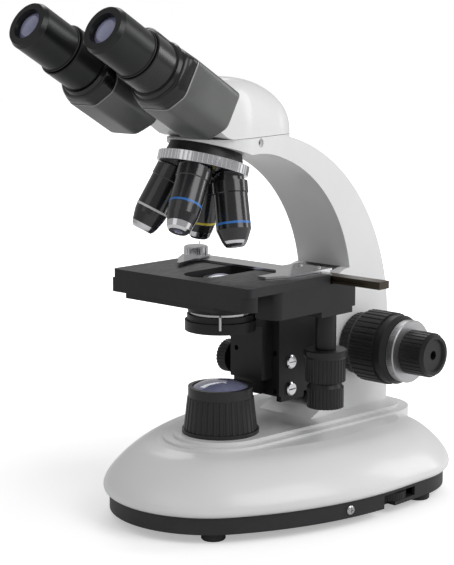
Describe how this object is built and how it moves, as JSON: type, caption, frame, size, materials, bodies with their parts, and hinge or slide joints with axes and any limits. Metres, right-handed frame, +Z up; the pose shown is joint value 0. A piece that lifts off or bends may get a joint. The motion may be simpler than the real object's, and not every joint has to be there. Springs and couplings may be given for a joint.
{
  "type": "compound microscope",
  "caption": "Binocular compound microscope with a revolving nosepiece, coaxial mechanical stage, condenser, LED base and coarse and fine focus.",
  "frame": {"origin": "centre of the overall box on the bench", "axes": "+Z up, +X to the user's right, -Y towards the user, +Y to the rear"},
  "size_m": [0.2, 0.3139, 0.3414],
  "materials": {
    "white_paint": "satin",
    "black_tray_plastic": "matte",
    "black_lamp_plastic": "satin",
    "stage_black": "matte black anodised",
    "bracket_black": "satin",
    "knob_black": "satin",
    "head_grey": "satin metallic",
    "cap_black": "gloss",
    "eyepiece_black": "satin black",
    "objective_black": "gloss black",
    "chrome": "polished",
    "steel": "brushed",
    "scale_silver": "brushed",
    "brass": "turned",
    "rubber": "matte",
    "lens_glass": "coated",
    "yellow_paint": "gloss",
    "blue_paint": "gloss",
    "band_white": "gloss",
    "rack_bronze": "dark bronze"
  },
  "bodies": {
    "stand": {"base_tray": "black_tray_plastic", "base_shell": "white_paint", "rubber_feet": "rubber", "base_screws": "steel", "power_inlet": "knob_black", "lamp_housing": "black_lamp_plastic", "field_lens": "lens_glass", "led_module": "scale_silver", "arm": "white_paint", "shaft_bushes": "brass", "focus_guides": "steel", "nosepiece_mount": "bracket_black"},
    "dial": {"brightness_dial": "knob_black"},
    "lock_screw": {"head_lock_screw": "steel"},
    "tension": {"tension_ring": "knob_black"},
    "coarse": {"coarse_knobs": "knob_black", "coarse_shaft": "steel"},
    "fine": {"fine_knobs": "knob_black", "fine_shaft": "steel", "fine_scales": "scale_silver"},
    "carriage": {"stage_bracket": "bracket_black", "bracket_screws": "chrome", "focus_slide": "bracket_black", "stage_base": "stage_black"},
    "stage_y": {"stage_top": "stage_black", "coaxial_block": "bracket_black"},
    "stage_x": {"rack_bar": "rack_bronze", "slide_holder": "chrome", "holder_screws": "steel"},
    "finger": {"spring_finger": "chrome", "finger_knob": "chrome"},
    "y_knob": {"stage_knob_upper": "knob_black"},
    "x_knob": {"stage_knob_lower": "knob_black"},
    "condenser": {"condenser_carrier": "bracket_black", "condenser_body": "bracket_black", "condenser_lens": "lens_glass"},
    "iris": {"iris_lever": "steel"},
    "condenser_drive": {"condenser_knob": "knob_black"},
    "turret": {"nosepiece_disc": "chrome", "objective_low": "objective_black", "objective_medium": "objective_black", "objective_high": "objective_black", "objective_oil": "objective_black", "yellow_band": "yellow_paint", "blue_bands": "blue_paint", "white_band": "band_white", "objective_noses": "chrome", "objective_lenses": "lens_glass"},
    "head": {"head_base": "white_paint", "hinge_barrel": "cap_black"},
    "right_side": {"housing_right": "head_grey", "tube_right": "cap_black"},
    "left_side": {"housing_left": "head_grey", "tube_left": "cap_black"},
    "diopter": {"diopter_ring": "eyepiece_black"},
    "right_eyepiece": {"eyepiece_right": "eyepiece_black", "eye_lens_right": "lens_glass"},
    "left_eyepiece": {"eyepiece_left": "eyepiece_black", "eye_lens_left": "lens_glass"}
  },
  "joints": [
    {"name": "stage_focus", "type": "slide", "parent": "stand", "child": "carriage", "axis": [0, 0, 1], "range_m": [-0.008, 0.014]},
    {"name": "coarse_focus", "type": "hinge", "parent": "stand", "child": "coarse", "pos_m": [0, 0.1056, 0.1025], "axis": [-1, 0, 0], "range_deg": [-77, 134]},
    {"name": "fine_focus", "type": "hinge", "parent": "stand", "child": "fine", "pos_m": [0, 0.1056, 0.1025], "axis": [-1, 0, 0], "continuous": true},
    {"name": "tension_adjust", "type": "hinge", "parent": "stand", "child": "tension", "pos_m": [0.029, 0.1056, 0.1025], "axis": [-1, 0, 0], "range_deg": [-60, 60]},
    {"name": "brightness", "type": "hinge", "parent": "stand", "child": "dial", "pos_m": [0.0805, 0.0655, 0.0124], "axis": [0, 0, 1], "range_deg": [-135, 135]},
    {"name": "head_lock", "type": "hinge", "parent": "stand", "child": "lock_screw", "pos_m": [0.0266, -0.004, 0.2519], "axis": [1, 0, 0], "range_deg": [-180, 180]},
    {"name": "stage_forward_back", "type": "slide", "parent": "carriage", "child": "stage_y", "axis": [0, 1, 0], "range_m": [-0.015, 0.015]},
    {"name": "stage_knob_y", "type": "hinge", "parent": "stage_y", "child": "y_knob", "pos_m": [0.0525, 0.0355, 0.1], "axis": [0, 0, 1], "range_deg": [-108, 108]},
    {"name": "stage_left_right", "type": "slide", "parent": "stage_y", "child": "stage_x", "axis": [1, 0, 0], "range_m": [-0.037, 0.037]},
    {"name": "stage_knob_x", "type": "hinge", "parent": "stage_y", "child": "x_knob", "pos_m": [0.0525, 0.0355, 0.082], "axis": [0, 0, 1], "range_deg": [-266, 266]},
    {"name": "finger_swing", "type": "hinge", "parent": "stage_x", "child": "finger", "pos_m": [-0.05, 0.016, 0.168], "axis": [0, 0, 1], "range_deg": [-30, 0]},
    {"name": "condenser_height", "type": "slide", "parent": "carriage", "child": "condenser", "axis": [0, 0, 1], "range_m": [-0.02, 0.001]},
    {"name": "condenser_focus", "type": "hinge", "parent": "carriage", "child": "condenser_drive", "pos_m": [-0.029, 0.03, 0.097], "axis": [-1, 0, 0], "range_deg": [-192, 10]},
    {"name": "iris", "type": "hinge", "parent": "condenser", "child": "iris", "pos_m": [0, -0.012, 0.138], "axis": [0, 0, 1], "range_deg": [-35, 35]},
    {"name": "nosepiece_turn", "type": "hinge", "parent": "stand", "child": "turret", "pos_m": [0, -0.0302, 0.232], "axis": [0, 0.284, 0.9588], "continuous": true},
    {"name": "head_turn", "type": "hinge", "parent": "stand", "child": "head", "pos_m": [0, -0.012, 0.2555], "axis": [0, 0, 1], "continuous": true},
    {"name": "right_fold", "type": "hinge", "parent": "head", "child": "right_side", "pos_m": [0, -0.05906, 0.29586], "axis": [0, -0.866, 0.5], "range_deg": [-12, 26]},
    {"name": "left_fold", "type": "hinge", "parent": "head", "child": "left_side", "pos_m": [0, -0.0426, 0.28636], "axis": [0, -0.866, 0.5], "range_deg": [-26, 12]},
    {"name": "diopter_turn", "type": "hinge", "parent": "left_side", "child": "diopter", "pos_m": [-0.0317, -0.11209, 0.308], "axis": [0, -0.866, 0.5], "range_deg": [-120, 120]},
    {"name": "right_eyepiece_turn", "type": "hinge", "parent": "right_side", "child": "right_eyepiece", "pos_m": [0.0317, -0.12768, 0.317], "axis": [0, -0.866, 0.5], "continuous": true},
    {"name": "left_eyepiece_turn", "type": "hinge", "parent": "left_side", "child": "left_eyepiece", "pos_m": [-0.0317, -0.13114, 0.319], "axis": [0, -0.866, 0.5], "continuous": true}
  ],
  "couplings": [
    {"joint": "coarse_focus", "follows": "stage_focus", "rad_per_m": 166.67},
    {"joint": "stage_knob_y", "follows": "stage_forward_back", "rad_per_m": 125},
    {"joint": "stage_knob_x", "follows": "stage_left_right", "rad_per_m": 125},
    {"joint": "condenser_focus", "follows": "condenser_height", "rad_per_m": 166.67},
    {"joint": "left_fold", "follows": "right_fold", "ratio": -1}
  ]
}
